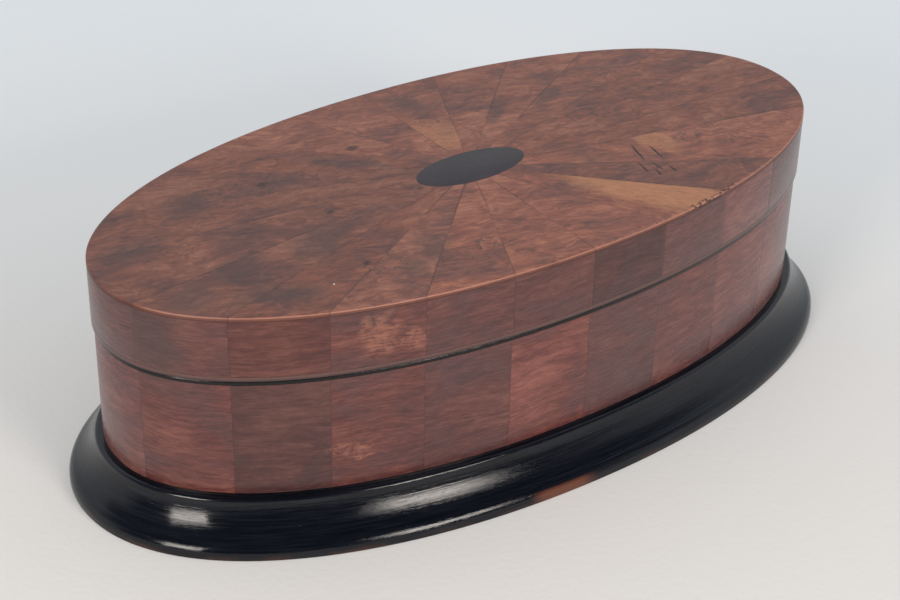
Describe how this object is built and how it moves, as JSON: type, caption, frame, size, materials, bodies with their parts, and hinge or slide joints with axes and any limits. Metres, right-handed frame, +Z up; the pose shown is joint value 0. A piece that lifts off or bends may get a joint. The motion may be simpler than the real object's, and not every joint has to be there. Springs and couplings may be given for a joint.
{
  "type": "oval wooden box",
  "caption": "Oval wooden box with a loose lift-off lid, veneered in radiating figured wood with a dark oval inlay, on a moulded ebonised plinth.",
  "frame": {"origin": "middle of the plinth's flat underside", "axes": "+X along the length of the oval, +Z up through the lid, the pictured front faces -Y"},
  "size_m": [0.3246, 0.1688, 0.0888],
  "materials": {
    "ebonised_wood": "black stained and polished to a high gloss",
    "carcass_wood": "plain planed timber, unpolished",
    "liner_wood": "reddish brown timber, thin polish",
    "black_stringing": "black wood, polished",
    "wall_veneer": "figured reddish brown veneer, semi-gloss polish",
    "top_veneer": "burr figured reddish brown veneer, semi-gloss polish",
    "ebony_inlay": "black wood, semi-gloss polish"
  },
  "bodies": {
    "box": {"plinth": "ebonised_wood", "carcass_wall": "carcass_wood", "floor_board": "liner_wood", "liner_with_lip": "liner_wood", "body_edge_stringing": "black_stringing", "body_veneer_01": "wall_veneer", "body_veneer_02": "wall_veneer", "body_veneer_03": "wall_veneer", "body_veneer_04": "wall_veneer", "body_veneer_05": "wall_veneer", "body_veneer_06": "wall_veneer", "body_veneer_07": "wall_veneer", "body_veneer_08": "wall_veneer", "body_veneer_09": "wall_veneer", "body_veneer_10": "wall_veneer", "body_veneer_11": "wall_veneer", "body_veneer_12": "wall_veneer", "body_veneer_13": "wall_veneer", "body_veneer_14": "wall_veneer", "body_veneer_15": "wall_veneer", "body_veneer_16": "wall_veneer", "body_veneer_17": "wall_veneer", "body_veneer_18": "wall_veneer", "body_veneer_19": "wall_veneer", "body_veneer_20": "wall_veneer", "body_veneer_21": "wall_veneer", "body_veneer_22": "wall_veneer"},
    "lid": {"lid_rim": "carcass_wood", "lid_panel": "carcass_wood", "lid_edge_stringing": "black_stringing", "lid_side_veneer": "wall_veneer", "top_veneer_01": "top_veneer", "top_veneer_02": "top_veneer", "top_veneer_03": "top_veneer", "top_veneer_04": "top_veneer", "top_veneer_05": "top_veneer", "top_veneer_06": "top_veneer", "top_veneer_07": "top_veneer", "top_veneer_08": "top_veneer", "top_veneer_09": "top_veneer", "top_veneer_10": "top_veneer", "top_veneer_11": "top_veneer", "top_veneer_12": "top_veneer", "top_veneer_13": "top_veneer", "top_veneer_14": "top_veneer", "top_veneer_15": "top_veneer", "top_veneer_16": "top_veneer", "top_veneer_17": "top_veneer", "top_veneer_18": "top_veneer", "top_veneer_19": "top_veneer", "top_veneer_20": "top_veneer", "top_veneer_21": "top_veneer", "top_veneer_22": "top_veneer", "centre_inlay": "ebony_inlay"}
  },
  "joints": [
    {"name": "lid_lift", "type": "slide", "parent": "box", "child": "lid", "axis": [0, 0, 1], "range_m": [0, 0.12]}
  ]
}
